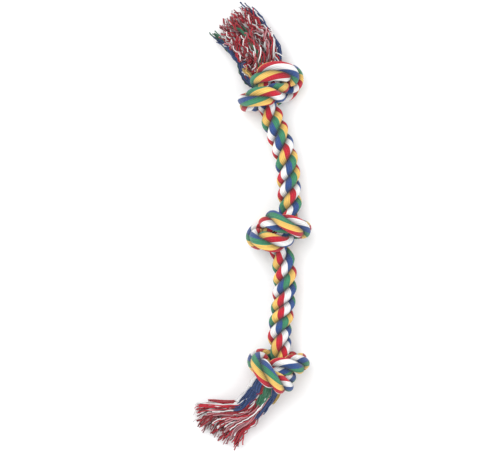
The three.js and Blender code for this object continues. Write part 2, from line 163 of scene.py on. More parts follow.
# How thick the finished rope is in a knot, and where painted shade darkens it towards its middle
DRESSED_KNOT_SHARE = 0.89
DRESSED_PRESS_SHARE = 1.12
DARK_START_SHARE = 0.94
DARK_DEPTH_SHARE = 0.34
FLOOR_CLEARANCE = 0.0002

# How two passes are pressed flat against each other, and how far from a joint into a knot's length the
# pieces between the knots begin
PRESS_LOOK_SHARE = 1.2
PRESS_LOOK_SAMPLES = 2
PRESS_HALVINGS = 8
BLEND_REACH = 0.015

# Which band of colour faces up on each strand's crowns: about how far along the rope in metres, and the
# band. Yellow is 0 to 1, red to 2, white to 3, blue to 4 and green to 5, and they count on round the strand.
CROWN_REACH = 0.010
CROWN_BANDS = [
    [
        (0.040, 1.5), (0.128, 3.7), (0.213, 4.0), (0.250, 3.3), (0.287, 2.4), (0.332, -0.7), (0.424, 3.6),
        (0.500, 2.6), (0.537, 1.7), (0.610, 2.6),
    ],
    [
        (0.028, 0.1), (0.164, 0.6), (0.200, 1.9), (0.239, 1.0), (0.275, 1.0), (0.320, 1.9), (0.452, 2.5),
        (0.488, 1.9), (0.524, 2.0), (0.562, 1.6), (0.639, 4.5), (0.730, 3.4),
    ],
    [
        (0.054, 4.0), (0.145, 3.8), (0.227, 4.0), (0.264, 3.6), (0.438, 0.2), (0.512, 4.3), (0.549, 3.7),
        (0.623, 0.1), (0.719, 4.0),
    ],
]

BAND_NAMES = ["yellow", "red", "white", "blue", "green"]


# Settings that a user would change
class RopeToySizes(bpy.types.PropertyGroup):
    """Sizes of the rope and its yarns"""

    yarn_relief: bpy.props.FloatProperty(
        name="Yarn Relief", subtype="FACTOR", default=YARN_RELIEF_SHARE, min=0, max=0.2,
        description="How far the yarns stand out of a strand, as a share of the rope's radius",
    )
    loose_yarn_radius: bpy.props.FloatProperty(
        name="Loose Yarn Radius", description="Half the thickness of a yarn in the tassels",
        unit="LENGTH", subtype="DISTANCE", default=0.00052, min=0.0001, max=0.002,
    )
    camera_distance: bpy.props.FloatProperty(
        name="Camera Distance", description="Height of the camera over the toy",
        unit="LENGTH", subtype="DISTANCE", default=1.9, min=0.3,
    )


class RopeToyColours(bpy.types.PropertyGroup):
    """Colours of the dyed cotton"""

    yellow: bpy.props.FloatVectorProperty(
        name="Yellow", description="Yellow yarn", subtype="COLOR",
        default=(0.89, 0.575, 0.14), min=0, max=1,
    )
    red: bpy.props.FloatVectorProperty(
        name="Red", description="Red yarn", subtype="COLOR",
        default=(0.55, 0.010, 0.030), min=0, max=1,
    )
    white: bpy.props.FloatVectorProperty(
        name="White", description="Bleached yarn", subtype="COLOR",
        default=(0.90, 0.89, 0.89), min=0, max=1,
    )
    blue: bpy.props.FloatVectorProperty(
        name="Blue", description="Blue yarn", subtype="COLOR",
        default=(0.027, 0.080, 0.265), min=0, max=1,
    )
    green: bpy.props.FloatVectorProperty(
        name="Green", description="Green yarn", subtype="COLOR",
        default=(0.045, 0.25, 0.13), min=0, max=1,
    )
    undyed: bpy.props.FloatVectorProperty(
        name="Undyed", description="Undyed core yarn, stained by the red beside it", subtype="COLOR",
        default=(0.66, 0.30, 0.33), min=0, max=1,
    )
    floor: bpy.props.FloatVectorProperty(
        name="Floor", description="Pale studio floor", subtype="COLOR",
        default=(0.95, 0.955, 0.96), min=0, max=1,
    )


# The route: places along the rope, worked out as the part's source does
TOP_KNOT_PLACE = (
    TOP_KNOT_SIDE,
    UPPER_KNOT_SPACING - MIDDLE_KNOT_SETBACK,
    KNOT_HEIGHT_SHARES[0] * ROPE_DIAMETER,
)
MIDDLE_KNOT_PLACE = (
    MIDDLE_KNOT_SIDE,
    -MIDDLE_KNOT_SETBACK,
    KNOT_HEIGHT_SHARES[1] * ROPE_DIAMETER,
)
BOTTOM_KNOT_PLACE = (
    BOTTOM_KNOT_SIDE,
    -MIDDLE_KNOT_SETBACK - LOWER_KNOT_SPACING,
    KNOT_HEIGHT_SHARES[2] * ROPE_DIAMETER,
)


def knot_points(shares, place):
    """A knot's points in metres."""
    return [tuple(place[k] + share[k] * ROPE_DIAMETER for k in range(3)) for share in shares]


def bow_points(shares, start, end):
    """The points of the rope between two knots, in metres."""
    points = []
    for share, out in shares:
        x = start[0] + (end[0] - start[0]) * share + out * ROPE_DIAMETER
        y = start[1] + (end[1] - start[1]) * share
        points.append((x, y, -BOW_DROP_SHARE * ROPE_DIAMETER))
    return points


def route_lengths():
    """The route's points, one list for each named length of the rope."""
    return [
        knot_points(TOP_KNOT_SHARES, TOP_KNOT_PLACE),
        bow_points(UPPER_BOW_SHARES, TOP_KNOT_PLACE, MIDDLE_KNOT_PLACE),
        knot_points(MIDDLE_KNOT_SHARES, MIDDLE_KNOT_PLACE),
        bow_points(LOWER_BOW_SHARES, MIDDLE_KNOT_PLACE, BOTTOM_KNOT_PLACE),
        knot_points(BOTTOM_KNOT_SHARES, BOTTOM_KNOT_PLACE),
    ]


def curve_places(points, at):
    """Places on a cubic B-spline, which the points draw towards them."""
    first = np.minimum(np.floor(at).astype(int) - 1, len(points) - CURVE_POINTS)
    t = at - 1 - first
    weights = np.stack([
        (1 - t) ** 3,
        3 * t**3 - 6 * t**2 + 4,
        -3 * t**3 + 3 * t**2 + 3 * t + 1,
        t**3,
    ], axis=1) / 6
    return sum(weights[:, k:k + 1] * points[first + k] for k in range(CURVE_POINTS))


def even_samples(points, gap):
    """Distances, places and point counts at even steps along the curve."""
    at = np.arange(FINE_STEPS, (len(points) - 2) * FINE_STEPS + 1) / FINE_STEPS
    fine = curve_places(points, at)
    along = np.r_[0, np.cumsum(np.linalg.norm(np.diff(fine, axis=0), axis=1))]
    steps = round(along[-1] / gap)
    distance = np.linspace(0, along[-1], steps + 1)
    places = np.stack([np.interp(distance, along, fine[:, k]) for k in range(3)], axis=1)
    return distance, places, np.interp(distance, along, at)


def moving_average(values, reach):
    """Each value averaged with its neighbours up to a reach away."""
    kernel = np.ones(2 * reach + 1) / (2 * reach + 1)
    return np.convolve(values, kernel, "same")


def ease_apart(home):
    """The knots' passes moved apart until they press on each other and no more."""
    reach = round(OWN_REACH_SHARE * ROPE_DIAMETER / EASE_STEP)
    room = PASS_ROOM_SHARE * ROPE_DIAMETER
    order = np.arange(len(home))
    other_pass = np.abs(order[:, None] - order[None]) > reach
    places = home.copy()
    for _ in range(EASE_ROUNDS):
        offset = places[:, None] - places[None]
        distance = np.linalg.norm(offset, axis=2)
        lack = np.where(other_pass & (distance < room), room - distance, 0)
        presses = np.maximum((lack > 0).sum(axis=1), 1)
        away = offset / np.maximum(distance, SEAM)[..., None]
        push = (away * lack[..., None]).sum(axis=1) * EASE_RATE
        push[:, :2] *= EASE_FLAT_SHARE
        push /= np.sqrt(presses)[:, None]
        push = np.stack([moving_average(push[:, k], EASE_SPREAD_STEPS) for k in range(3)], axis=1)
        places = places + push + (home - places) * EASE_PULL_SHARE
        bend = np.zeros_like(places)
        bend[1:-1] = places[:-2] + places[2:] - 2 * places[1:-1]
        places = places + bend * EASE_STIFFNESS
    return places


def across_frames(places):
    """The way along the rope and two ways across it that turn as little as they can."""
    along = np.zeros_like(places)
    along[1:-1] = places[2:] - places[:-2]
    along[0] = places[1] - places[0]
    along[-1] = places[-1] - places[-2]
    along /= np.linalg.norm(along, axis=1)[:, None]
    across = np.zeros_like(places)
    way = np.array([1.0, 0.0, 0.0])
    for i, ahead in enumerate(along):
        way = way - way.dot(ahead) * ahead
        way /= np.linalg.norm(way)
        across[i] = way
    return along, across, np.cross(along, across)


def nearest_pass(places, gap):
    """The distance from each sample to the nearest other pass of the rope."""
    reach = round(OWN_REACH_SHARE * ROPE_DIAMETER / gap)
    order = np.arange(len(places))
    near = np.empty(len(places))
    for i, place in enumerate(places):
        distance = np.linalg.norm(places - place, axis=1)
        distance[np.abs(order - i) <= reach] = np.inf
        near[i] = distance.min()
    return near


def least_then_mean(values, spread):
    """The least value near each sample, then the mean of those, so that a low stretch stays low."""
    count = len(values)
    least = np.array([values[max(i - spread, 0):i + spread + 1].min() for i in range(count)])
    return np.array([least[max(i - spread, 0):i + spread + 1].mean() for i in range(count)])


def rope_widths(places, along, gap, near):
    """The pressed width of the solids, as a share of the rope's diameter."""
    spread = round(PRESS_SPREAD_SHARE * ROPE_DIAMETER / gap)
    count = len(places)
    before = along[np.maximum(np.arange(count) - spread, 0)]
    after = along[np.minimum(np.arange(count) + spread, count - 1)]
    turn = np.arccos(np.clip((before * after).sum(axis=1), -1, 1))
    bend = 2 * spread * gap / np.maximum(turn, 1 / count)
    pressed = np.minimum((near - SEAM) / ROPE_DIAMETER, BEND_WIDTH_SHARE * bend / (ROPE_DIAMETER / 2))
    pressed = np.minimum(pressed, 1)
    return least_then_mean(np.where(pressed < 1, np.minimum(pressed, KNOT_WIDTH_SHARE), 1), spread)


class Route:
    """Everything that the pieces need to know about the rope at even samples."""

    def __init__(self):
        lengths = route_lengths()
        counts = [len(points) for points in lengths]
        points = np.array([point for points in lengths for point in points])
        _, home, home_count = even_samples(points, EASE_STEP)
        self.distance, self.place, at = even_samples(ease_apart(home), SAMPLE_STEP)
        self.count = np.interp(at, np.arange(len(home)), home_count)
        self.gap = self.distance[1]
        self.along, self.across, self.up = across_frames(self.place)
        self.near = nearest_pass(self.place, self.gap)
        width = rope_widths(self.place, self.along, self.gap, self.near)
        lowest = (self.place[:, 2] - width * ROPE_DIAMETER / 2).min()
        self.place[:, 2] += -FLAT_DEPTH_SHARE * ROPE_DIAMETER - lowest
        knotted = np.minimum((1 - width) / (1 - KNOT_WIDTH_SHARE), 1)
        lay = LAY_LENGTH + (KNOT_LAY_LENGTH - LAY_LENGTH) * knotted
        lead_places, leads = np.array(LAY_LEAD_SHARES).T
        lead = np.interp(self.distance / self.distance[-1], lead_places, leads)
        self.turn = np.r_[0, np.cumsum(2 * math.pi * self.gap / lay)[:-1]] + 2 * math.pi * lead
        dressed = np.clip(DRESSED_PRESS_SHARE * self.near / ROPE_DIAMETER, 0, 1)
        dressed = np.where(dressed < 1, np.minimum(dressed, DRESSED_KNOT_SHARE), 1)
        self.width = least_then_mean(dressed, round(PRESS_SPREAD_SHARE * ROPE_DIAMETER / self.gap))
        self.ends = self.length_ends(counts)
        self.rolls = [self.strand_roll(strand, rows) for strand, rows in enumerate(CROWN_BANDS)]

    def crown_near(self, strand, distance):
        """The sample near a distance where a strand lies on top of the rope."""
        turn = self.turn + 2 * math.pi * strand / STRANDS
        facing = np.cos(turn) * self.across[:, 2] + np.sin(turn) * self.up[:, 2]
        facing /= np.hypot(self.across[:, 2], self.up[:, 2])
        near = np.abs(self.distance - distance) < CROWN_REACH
        return int(np.argmax(np.where(near, facing, -np.inf)))

    def strand_roll(self, strand, rows):
        """How far a strand has rolled about its own middle, in turns, for the wanted bands to face up."""
        crowns = [self.crown_near(strand, distance) for distance, _ in rows]
        bands = np.array([band for _, band in rows])
        rolls = bands / len(BAND_NAMES) + YARN_TWIST_TURNS * self.turn[crowns] / (2 * math.pi)
        for k in range(1, len(rolls)):
            rolls[k] += round(rolls[k - 1] - rolls[k])
        spread = round(ROLL_SPREAD / self.gap)
        padded = np.pad(np.interp(self.distance, self.distance[crowns], rolls), spread, mode="edge")
        return moving_average(padded, spread)[spread:-spread]

    def length_ends(self, counts):
        """Sample numbers where the named lengths meet."""
        ends = [0]
        total = 0
        for k, count in enumerate(counts[:-1]):
            total += count
            is_knot = k % 2 == 0
            at = total - 1 if is_knot else total
            ends.append(int(np.searchsorted(self.count, at - 1 / FINE_STEPS)))
        return ends + [len(self.distance) - 1]


# Tubes of cotton: a grid wrapped round on itself and closed at its ends
def tube_mesh(places, uvs, bands, depth):
    """A closed tube through rings of places, with a UV map, a depth in the bundle that sets its painted
    shade, and bands of material.
    """
    rings, columns = places.shape[:2]
    shape = bmesh.new()
    bmesh.ops.create_grid(shape, x_segments=columns, y_segments=rings - 1, size=1.0)
    mesh = bpy.data.meshes.new("tube")
    shape.to_mesh(mesh)
    shape.free()
    flat = np.empty(len(mesh.vertices) * 3)
    mesh.vertices.foreach_get("co", flat)
    flat = flat.reshape(-1, 3)

    # The grid runs from -1 to 1: its columns go round the tube and its rings along it
    column = np.rint((flat[:, 0] + 1) / 2 * columns).astype(int)
    ring = np.rint((flat[:, 1] + 1) / 2 * (rings - 1)).astype(int)
    mesh.vertices.foreach_set("co", places[ring, column % columns].ravel())
    corners = np.empty(len(mesh.loops), dtype=np.int32)
    mesh.loops.foreach_get("vertex_index", corners)
    layer = mesh.uv_layers.new(name="yarns")
    wrapped = np.stack([uvs[0][column[corners]], uvs[1][ring[corners]]], axis=1)
    layer.data.foreach_set("uv", wrapped.ravel())
    face_column = column[corners].reshape(-1, 4).min(axis=1)
    mesh.polygons.foreach_set("material_index", bands[face_column])
    deep = mesh.attributes.new("depth", "FLOAT", "POINT")
    deep.data.foreach_set("value", depth[ring, column % columns])

    # The first and last columns meet, and each end gets a cap
    seam = np.flatnonzero((column == 0) | (column == columns)).tolist()
    shape = bmesh.new()
    shape.from_mesh(mesh)
    bpy.data.meshes.remove(mesh)
    shape.verts.ensure_lookup_table()
    bmesh.ops.remove_doubles(shape, verts=[shape.verts[i] for i in seam], dist=SEAM_MERGE)
    rims = [edge for edge in shape.edges if edge.is_boundary]
    for face in shape.faces:
        face.smooth = True
    for edge in rims:
        edge.smooth = False
    caps = bmesh.ops.holes_fill(shape, edges=rims, sides=0)["faces"]
    bmesh.ops.poke(shape, faces=caps)
    return shape


def new_object(name, data):
    """An object that is linked into the scene."""
    thing = bpy.data.objects.new(name, data)
    bpy.context.scene.collection.objects.link(thing)
    return thing


def finished_object(name, tubes, materials):
    """One object from several closed tubes."""
    joined = bmesh.new()
    part = bpy.data.meshes.new("part")
    for tube in tubes:
        tube.to_mesh(part)
        tube.free()
        joined.from_mesh(part)
    bpy.data.meshes.remove(part)
    bmesh.ops.recalc_face_normals(joined, faces=joined.faces)
    mesh = bpy.data.meshes.new(name)
    joined.to_mesh(mesh)
    joined.free()
    for material in materials:
        mesh.materials.append(material)
    return new_object(name, mesh)


# The laid rope
def strand_section(angle, relief, yarn):
    """A strand's section at angles about its own middle: outward and sideways, in rope radii."""
    bulge = CROWN_RADIUS_SHARE + relief * (np.abs(np.sin(math.pi * yarn)) - 1)
    out = CROWN_OUT_SHARE + bulge * np.cos(angle)
    side = bulge * np.sin(angle)

    # A strand keeps to its third of the rope: what is past the third's edge goes to the nearest place on it
    slope = math.sqrt(3)
    beyond = np.abs(side) > slope * np.maximum(out, 0)
    foot = np.maximum((out + slope * np.abs(side)) / 4, 0)
    out = np.where(beyond, foot, out)
    side = np.where(beyond, np.sign(side) * slope * foot, side)
    return out, side


def strand_rings(route, strand, rings, relief):
    """Rings of places round one strand, and how deep each place is in the rope."""
    columns = YARNS_PER_STRAND * SIDES_PER_YARN
    round_share = np.arange(columns) / columns
    yarn = round_share * YARNS_PER_STRAND
    result = np.empty((len(rings), columns, 3))
    depth = np.empty((len(rings), columns))
    for row, i in enumerate(rings):
        turn = route.turn[i] + 2 * math.pi * strand / STRANDS
        outward = math.cos(turn) * route.across[i] + math.sin(turn) * route.up[i]
        sideways = np.cross(route.along[i], outward)
        angle = 2 * math.pi * (route.rolls[strand][i] - round_share) - YARN_TWIST_TURNS * route.turn[i]
        out, side = strand_section(angle - CROWN_CROWDING * np.sin(angle), relief, yarn)
        radius = ROPE_DIAMETER / 2 * route.width[i]
        result[row] = route.place[i] + radius * (out[:, None] * outward + side[:, None] * sideways)
        # Painted shade: the deeper a place lies in the rope, the darker its colour
        depth[row] = np.clip((DARK_START_SHARE - np.hypot(out, side)) / DARK_DEPTH_SHARE, 0, 1)
    return result, depth


def share_from_pass(spots, middles, radii):
    """How far each spot is from the nearest middle of another pass, in that pass's radii."""
    gaps = np.linalg.norm(spots[:, None] - middles[None], axis=2)
    return (gaps / radii).min(axis=1)


def press_passes(route, places, rings):
    """Where two passes of the rope meet, both are pressed flat against the other."""
    reach = round(OWN_REACH_SHARE * ROPE_DIAMETER / route.gap)
    radius = ROPE_DIAMETER / 2 * route.width
    order = np.arange(len(route.place))
    for row, i in enumerate(rings):
        if route.near[i] > ROPE_DIAMETER:
            continue
        away = np.linalg.norm(route.place - route.place[i], axis=1)
        close = away < PRESS_LOOK_SHARE * ROPE_DIAMETER
        others = order[close & (np.abs(order - i) > reach)][::PRESS_LOOK_SAMPLES]
        if len(others) == 0:
            continue
        middle = route.place[i]
        offset = places[row] - middle
        own = np.linalg.norm(offset, axis=1) / radius[i]
        pressed = share_from_pass(middle + offset, route.place[others], radius[others]) < own
        if not pressed.any():
            continue

        # Each place is drawn in until it is as near to its own pass as to the other
        low = np.zeros(len(offset))
        high = np.ones(len(offset))
        for _ in range(PRESS_HALVINGS):
            half = (low + high) / 2
            spots = middle + offset * half[:, None]
            inside = share_from_pass(spots, route.place[others], radius[others]) < own * half
            high = np.where(inside, half, high)
            low = np.where(inside, low, half)
        places[row] = middle + offset * np.where(pressed, low, 1.0)[:, None]
    return places


def rope_piece(name, route, first, last, relief, materials):
    """The three strands between two samples, as one piece."""
    steps = max(round((last - first) / RING_STEP_SAMPLES), 1)
    rings = np.rint(np.linspace(first, last, steps + 1)).astype(int)
    columns = YARNS_PER_STRAND * SIDES_PER_YARN
    across = np.arange(columns + 1) / SIDES_PER_YARN
    yarn_width = math.pi * ROPE_DIAMETER * CROWN_RADIUS_SHARE / YARNS_PER_STRAND
    bands = (np.arange(columns) * len(BAND_NAMES) // columns).astype(np.int32)
    tubes = []
    for strand in range(STRANDS):
        places, depth = strand_rings(route, strand, rings, relief)
        places = press_passes(route, places, rings)
        places[..., 2] = np.maximum(places[..., 2], FLOOR_CLEARANCE)
        uvs = (across + strand * YARNS_PER_STRAND, route.distance[rings] / yarn_width)
        tubes.append(tube_mesh(places, uvs, bands, depth))
    return finished_object(name, tubes, materials)


# The tassels: yarns combed out of the strands at the rope's ends
TASSEL_LEAD_SAMPLES = 20
TASSEL_LEAD_SHARE = 0.35
TASSEL_LINE_STEPS = 30
TASSEL_RINGS = 25
YARN_SIDES = 5
YARN_MAP_WIDTH = 2
YARN_FLOOR_SHARE = 1.1
GOLDEN_TURN = math.pi * (3 - math.sqrt(5))

# The locks of a tassel: how many there are, how far out and high they lie, and how thick they are
BULK_LOCKS = 46
BULK_REACH_SHARE = 0.9
BULK_LOOSENESS = 1.0
SKIN_LOOSENESS = 0.3
HIGH_LOCK_SHARE = 0.3
YARNS_PER_LOCK = 8
LOCK_GIRTH = 0.0017
LOCK_ROOT_GIRTH_SHARE = 0.8
LOCK_TIP_GIRTH_SHARE = 0.5

# How the locks twist and wave, and how their yarns crimp along the length and curl at the tips
LOCK_TWIST_TURNS = 0.9
LOCK_WAVES = 2.4
LOCK_SWAY_RISE = 3
YARN_WAVES = 8.5
YARN_CRIMP_RISE = 4
CURL_START_SHARE = 0.6
CURL_TURN = 1.2
CURL_LIFT_SHARE = 0.6

# The least and the most that a lock's or a yarn's own size may be of the usual one
BULK_LENGTH_RANGE = (0.88, 1.02)
YARN_LENGTH_RANGE = (0.88, 1.04)
SIZE_RANGE = (0.5, 1.3)
TWIST_RANGE = (0.5, 1.4)
WAVES_RANGE = (0.8, 1.25)

# How much painted shade the yarns get: deep in the bundle, at its skin, and on the lower side of a lock
YARN_SHADE = 0.9
PALE_YARN_SHADE = 0.1
SKIN_SHADE = 0.5
UNDERSIDE_SHADE = 0.5
# Painted red-tinted shade: how deep a white yarn lies before it takes the pinkish undyed finish
PINK_SHADE_DEPTH = 0.5
TIP_SHADE_REACH = 1.4

# The middle line of each tassel, in shares of its reach from its knot
TOP_TASSEL_REACH = 0.068
BOTTOM_TASSEL_REACH = 0.074
TOP_TASSEL_SHARES = [(-0.12, 0.38, 0.32), (-0.28, 0.64, 0.24), (-0.5, 0.85, 0.18)]
BOTTOM_TASSEL_SHARES = [(-0.27, -0.434, 0.25), (-0.403, -0.62, 0.17), (-0.545, -0.86, 0.12)]

# How a tassel's line and girths are smoothed
DIRECTION_REACH_SHARE = 0.02
GIRTH_STEPS = 100
GIRTH_SPREAD_STEPS = 6

# How far each tassel reaches from its line, in metres, at shares of its length: to its left as the yarns
# run, to its right, and up
TOP_TASSEL_GIRTHS = [
    (0.0, 0.0078, 0.0078, 0.0078),
    (0.15, 0.0160, 0.0165, 0.0090),
    (0.5, 0.0195, 0.0190, 0.0130),
    (1.0, 0.0205, 0.0185, 0.0125),
]
BOTTOM_TASSEL_GIRTHS = [
    (0.0, 0.0078, 0.0078, 0.0078),
    (0.15, 0.0105, 0.0110, 0.0095),
    (0.52, 0.0105, 0.0112, 0.0100),
    (0.66, 0.0105, 0.0250, 0.0095),
    (0.76, 0.0105, 0.0420, 0.0088),
    (1.0, 0.0115, 0.0500, 0.0080),
]

# Locks of the strands' dyed skins: the angle in degrees round the bundle, from its left side as the yarns
# run and over its top, then how far out and how long as shares of the bundle, and the colour
TOP_SKIN_LOCKS = [
    (-10, 1.00, 1.02, "green"), (4, 1.00, 0.96, "blue"), (24, 0.90, 0.34, "blue"),
    (58, 1.30, 0.30, "yellow"), (96, 1.30, 0.26, "red"), (150, 0.98, 0.34, "blue"),
    (188, 0.90, 1.00, "blue"), (84, 0.66, 0.84, "green"),
]
BOTTOM_SKIN_LOCKS = [
    (180, 1.04, 0.48, "white"), (172, 1.14, 0.54, "white"), (163, 1.12, 0.52, "white"),
    (148, 1.00, 0.54, "blue"), (137, 0.98, 0.50, "blue"), (126, 0.98, 0.60, "blue"),
    (115, 0.96, 0.44, "blue"), (84, 1.00, 0.40, "green"), (72, 1.02, 0.38, "green"),
    (60, 0.98, 0.34, "green"), (42, 1.02, 0.52, "blue"), (28, 1.04, 0.46, "blue"),
    (16, 1.06, 0.26, "green"), (8, 1.16, 0.30, "yellow"), (186, 0.98, 0.72, "red"),
    (30, 0.88, 1.00, "red"), (52, 0.92, 0.98, "undyed"), (112, 0.80, 0.96, "red"),
]

# The yarns of the locks in a tassel's bulk, one mix after another
BULK_MIXES = [
    ["red", "white", "red", "undyed"],
    ["red", "white"],
    ["red", "undyed", "red", "white"],
    ["white", "red"],
    ["red", "white", "red"],
]
TASSEL_COLOURS = [*BAND_NAMES, "undyed"]

# How each tassel hangs. The cuts are how much shorter its top locks are, and those at its left and right as
# the yarns run. Its locks sway, its tips curl and its yarns crimp by these lengths in metres.
TOP_TASSEL_HANG = dict(top_cut=0.75, side_cuts=(0.12, 0.12), sway=0.0021, curl=0.007, crimp=0.0011)
BOTTOM_TASSEL_HANG = dict(top_cut=0.15, side_cuts=(0.02, 0.27), sway=0.0011, curl=0.0025, crimp=0.0006)
TOP_TASSEL_SEED = 11
BOTTOM_TASSEL_SEED = 12


def tassel_line(inside, end, knot, reach, shares):
    """Places along a tassel's middle, from a little inside the rope's end to the tips."""
    outward = (end - inside) / np.linalg.norm(end - inside)
    knots = [inside, end, end + outward * TASSEL_LEAD_SHARE * ROPE_DIAMETER]
    knots += [np.array([knot[0] + x * reach, knot[1] + y * reach, z * reach]) for x, y, z in shares]
    knots = np.array([2 * knots[0] - knots[1], *knots, 2 * knots[-1] - knots[-2]])
    fine = []
    for k in range(1, len(knots) - 2):
        a, b, c, d = knots[k - 1:k + 3]
        for t in np.linspace(0, 1, TASSEL_LINE_STEPS, endpoint=False):
            fine.append(0.5 * (2 * b + (c - a) * t + (2 * a - 5 * b + 4 * c - d) * t**2
                               + (3 * b - a - 3 * c + d) * t**3))
    fine.append(knots[-2])
    return np.array(fine)


class Tassel:
    """A bundle of yarn that widens from the rope's end to its tips."""

    def __init__(self, line, girths, *, top_cut, side_cuts, sway, curl, crimp):
        along = np.r_[0, np.cumsum(np.linalg.norm(np.diff(line, axis=0), axis=1))]
        self.line = line
        self.tip = line[-1]
        self.length = along[-1]
        self.share = along / along[-1]
        shares, *girths = np.array(girths).T
        self.steps = np.linspace(0, 1, GIRTH_STEPS)
        self.girths = [self.smooth(np.interp(self.steps, shares, girth)) for girth in girths]
        self.top_cut = top_cut
        self.side_cuts = side_cuts
        self.sway = sway
        self.curl = curl
        self.crimp = crimp

    def smooth(self, girth):
        """A girth without the corners of its table."""
        padded = np.pad(girth, GIRTH_SPREAD_STEPS, mode="reflect", reflect_type="odd")
        return moving_average(padded, GIRTH_SPREAD_STEPS)[GIRTH_SPREAD_STEPS:-GIRTH_SPREAD_STEPS]

    def middle(self, t):
        """Places on the middle line."""
        return np.stack([np.interp(t, self.share, self.line[:, k]) for k in range(3)], axis=-1)

    def at(self, t):
        """Places, sideways and upward ways, and half width and height, at shares of the length."""
        t = np.asarray(t)
        place = self.middle(t)
        on_line = np.minimum(t, 1)
        ahead = self.middle(on_line + DIRECTION_REACH_SHARE)
        outward = ahead - self.middle(on_line - DIRECTION_REACH_SHARE)
        outward /= np.linalg.norm(outward, axis=-1)[..., None]
        wide = np.cross([0.0, 0.0, 1.0], outward)
        wide /= np.linalg.norm(wide, axis=-1)[..., None]
        left, right, half_high = [np.interp(t, self.steps, girth) for girth in self.girths]
        place += ((left - right) / 2)[..., None] * wide
        place += np.maximum(t - 1, 0)[..., None] * self.length * outward
        return place, wide, np.cross(outward, wide), (left + right) / 2, half_high


def lock_yarns(tassel, centre, length_share, colours, looseness, draw):
    """The middle lines of one lock's yarns, each with its colour and its painted shade, which grows with its
    depth in the bundle.
    """
    t = np.linspace(0, 1, TASSEL_RINGS)
    turn = draw.uniform(0, 2 * math.pi)
    wave = draw.uniform(0, 2 * math.pi)
    sway = tassel.sway * looseness * draw.uniform(*SIZE_RANGE)
    twist = LOCK_TWIST_TURNS * draw.uniform(*TWIST_RANGE) * draw.choice([-1, 1])
    waves = LOCK_WAVES * draw.uniform(*WAVES_RANGE)
    hang = draw.uniform(-1.0, 1.0)
    yarns = []
    for k in range(YARNS_PER_LOCK):
        reach = math.sqrt((k + 0.5) / YARNS_PER_LOCK)
        own_length = length_share * draw.uniform(*YARN_LENGTH_RANGE)
        share = t * own_length
        place, wide, high, half_wide, half_high = tassel.at(share)

        # The yarn winds round its lock, and crimps in small waves of its own
        girth = LOCK_GIRTH * (LOCK_ROOT_GIRTH_SHARE + LOCK_TIP_GIRTH_SHARE * share)
        around = turn + k * GOLDEN_TURN + 2 * math.pi * twist * share
        full_crimp = tassel.crimp * looseness * draw.uniform(*SIZE_RANGE)
        crimp = full_crimp * np.minimum(share * YARN_CRIMP_RISE, 1)
        first_turn = draw.uniform(0, 1)
        crimp_turn = 2 * math.pi * (first_turn + YARN_WAVES * draw.uniform(*WAVES_RANGE) * share)

        # The lock sways as one, and its tips curl away
        lock_turn = wave + 2 * math.pi * waves * share
        lock_sway = sway * np.minimum(share * LOCK_SWAY_RISE, 1)
        tip = np.clip((t - CURL_START_SHARE) / (1 - CURL_START_SHARE), 0, 1) ** 2 * tassel.curl * looseness
        tip_turn = draw.uniform(-CURL_TURN, CURL_TURN) + hang
        side = (centre[0] * half_wide + reach * girth * np.cos(around) + crimp * np.cos(crimp_turn)
                + lock_sway * np.cos(lock_turn) + tip * math.sin(tip_turn))
        rise = (centre[1] * half_high + reach * girth * np.sin(around) + crimp * np.sin(crimp_turn)
                + lock_sway * np.sin(lock_turn) + tip * math.cos(tip_turn) * CURL_LIFT_SHARE)
        line = place + side[:, None] * wide + rise[:, None] * high

        # Painted shade: yarns are darker deep in the bundle, and white ones there get the pinkish undyed
        # finish as painted shade tinted by the red yarns around them
        buried = np.clip(1 - np.hypot(side / half_wide, rise / half_high), 0, 1)
        buried = buried * np.clip(TIP_SHADE_REACH - t, 0, 1)
        colour = draw.choice(colours)
        if colour == "white" and buried.mean() > PINK_SHADE_DEPTH:
            colour = "undyed"
        if colour == "white":
            shaded = PALE_YARN_SHADE
        else:
            shaded = draw.uniform(SKIN_SHADE * (1 - looseness), YARN_SHADE)
        # Painted shade on the lower side of the lock
        shaded *= 1 - UNDERSIDE_SHADE * reach * np.sin(around)
        yarns.append((line, colour, np.clip(buried + shaded, 0, 1)))
    return yarns


def tassel_yarns(tassel, skin, seed):
    """All yarns of a tassel: those of its bulk, spread evenly over its section, and those of its skin."""
    draw = random.Random(seed)
    yarns = []
    for k in range(BULK_LOCKS):
        reach = BULK_REACH_SHARE * math.sqrt((k + 0.5) / BULK_LOCKS)
        angle = k * GOLDEN_TURN
        centre = (reach * math.cos(angle), reach * math.sin(angle))
        side_cut = tassel.side_cuts[centre[0] < 0]
        length = draw.uniform(*BULK_LENGTH_RANGE) * (1 - side_cut * centre[0] ** 2)
        if centre[1] > HIGH_LOCK_SHARE:
            length *= 1 - tassel.top_cut * draw.uniform(0, 1)
        mix = BULK_MIXES[k % len(BULK_MIXES)]
        yarns += lock_yarns(tassel, centre, length, mix, BULK_LOOSENESS, draw)
    for degrees, out, length, colour in skin:
        angle = math.radians(degrees)
        centre = (out * math.cos(angle), out * math.sin(angle))
        yarns += lock_yarns(tassel, centre, length, [colour], SKIN_LOOSENESS, draw)
    return yarns


def yarn_tube(line, buried, radius, number):
    """A thin tube along a yarn's middle line, kept above the floor."""
    line = line.copy()
    line[:, 2] = np.maximum(line[:, 2], radius * YARN_FLOOR_SHARE)
    _, across, up = across_frames(line)
    turns = 2 * math.pi * np.arange(YARN_SIDES) / YARN_SIDES
    spokes = np.cos(turns)[:, None] * across[:, None] + np.sin(turns)[:, None] * up[:, None]
    places = line[:, None] + radius * spokes
    length = np.r_[0, np.cumsum(np.linalg.norm(np.diff(line, axis=0), axis=1))]
    around = YARN_MAP_WIDTH * number + YARN_MAP_WIDTH * np.arange(YARN_SIDES + 1) / YARN_SIDES
    depth = np.repeat(buried[:, None], YARN_SIDES, axis=1)
    one_band = np.zeros(YARN_SIDES, dtype=np.int32)
    return tube_mesh(places, (around, length / (2 * radius)), one_band, depth)


